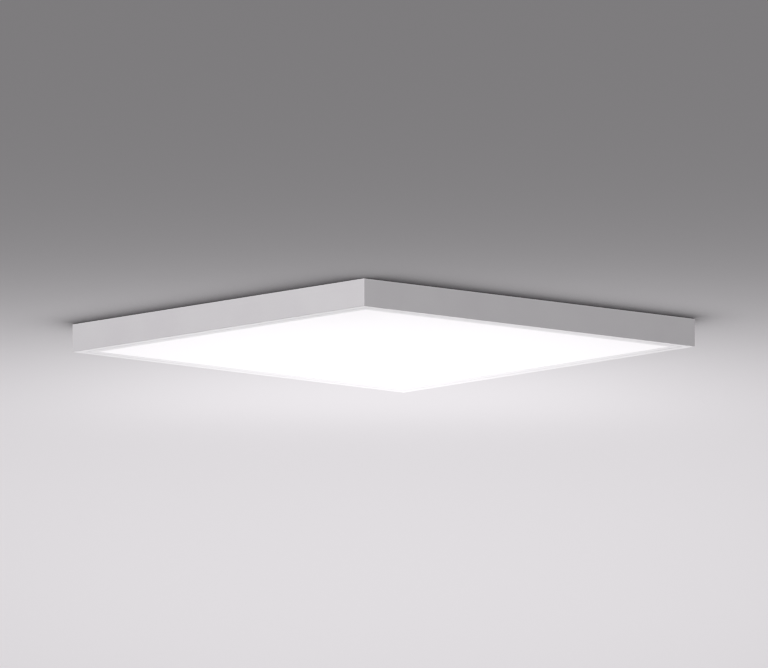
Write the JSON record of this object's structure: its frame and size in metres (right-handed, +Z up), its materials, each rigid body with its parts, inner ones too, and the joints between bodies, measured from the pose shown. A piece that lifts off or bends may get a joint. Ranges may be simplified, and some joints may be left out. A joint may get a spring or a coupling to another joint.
{
  "type": "flush mount ceiling light",
  "caption": "Square edge-lit flush mount ceiling light: mitred white aluminium frame, opal diffuser, back plate with driver and terminals, clipped to a steel ceiling bracket.",
  "frame": {"origin": "centre of the ceiling bracket's screw pattern, on the ceiling plane", "axes": "+Z up into the ceiling, +X along the bracket, +Y away from the viewer's corner"},
  "size_m": [0.6, 0.6, 0.0385],
  "materials": {
    "white_powder_coat": "matte",
    "opal_acrylic": "satin",
    "clear_acrylic": "polished",
    "white_film": "matte",
    "foam": "soft foam",
    "strip_mask": "satin",
    "led_phosphor": "satin",
    "galvanised_steel": "spangled",
    "coated_steel": "satin",
    "spring_steel": "satin",
    "zinc_steel": "bright",
    "aluminium_mill": "mill",
    "black_rubber": "matte",
    "white_nylon": "satin",
    "orange_button": "satin",
    "board_laminate": "satin",
    "ferrite": "matte",
    "capacitor_sleeve": "gloss",
    "brass": "bright",
    "tinned_copper": "bright",
    "brown_pvc": "satin",
    "blue_pvc": "satin",
    "green_pvc": "satin",
    "white_pvc": "satin"
  },
  "bodies": {
    "bracket": {"ceiling_bracket": "galvanised_steel", "cable_grommet": "black_rubber", "spring_clips": "spring_steel", "spring_clip_rivets": "zinc_steel"},
    "luminaire": {"frame_rail_near": "white_powder_coat", "frame_rail_right": "white_powder_coat", "frame_rail_far": "white_powder_coat", "frame_rail_left": "white_powder_coat", "corner_keys": "aluminium_mill", "diffuser": "opal_acrylic", "light_guide": "clear_acrylic", "reflector_sheet": "white_film", "foam_pad": "foam", "led_strip_board_right": "strip_mask", "led_strip_board_left": "strip_mask", "leds_right": "led_phosphor", "leds_left": "led_phosphor", "strip_sockets": "white_nylon", "cable_plugs": "white_nylon", "back_plate": "galvanised_steel", "back_plate_screws": "zinc_steel", "plate_studs": "zinc_steel", "stud_nuts": "zinc_steel", "catches": "galvanised_steel", "catch_rivets": "zinc_steel", "driver_case": "coated_steel", "driver_cover": "coated_steel", "driver_board": "board_laminate", "driver_board_screws": "zinc_steel", "driver_transformer": "ferrite", "driver_capacitors": "capacitor_sleeve", "driver_choke": "ferrite", "driver_solder_blocks": "white_nylon", "terminal_housing": "white_nylon", "terminal_contacts": "brass", "earth_ring_terminal": "tinned_copper", "earth_washer": "zinc_steel", "live_lead": "brown_pvc", "neutral_lead": "blue_pvc", "earth_lead": "green_pvc", "strip_cable_left": "white_pvc", "strip_cable_right": "white_pvc", "cable_saddles": "white_nylon"},
    "button_earth": {"release_button_earth": "orange_button"},
    "button_live": {"release_button_live": "orange_button"},
    "button_neutral": {"release_button_neutral": "orange_button"}
  },
  "joints": [
    {"name": "luminaire_drop", "type": "slide", "parent": "bracket", "child": "luminaire", "axis": [0, 0, -1], "range_m": [0, 0.12], "deforming": ["spring_clips"]},
    {"name": "release_earth", "type": "slide", "parent": "luminaire", "child": "button_earth", "axis": [0, 0, -1], "range_m": [0, 0.0015], "stiffness_N_per_m": 300, "springref_m": -0.001},
    {"name": "release_live", "type": "slide", "parent": "luminaire", "child": "button_live", "axis": [0, 0, -1], "range_m": [0, 0.0015], "stiffness_N_per_m": 300, "springref_m": -0.001},
    {"name": "release_neutral", "type": "slide", "parent": "luminaire", "child": "button_neutral", "axis": [0, 0, -1], "range_m": [0, 0.0015], "stiffness_N_per_m": 300, "springref_m": -0.001}
  ]
}
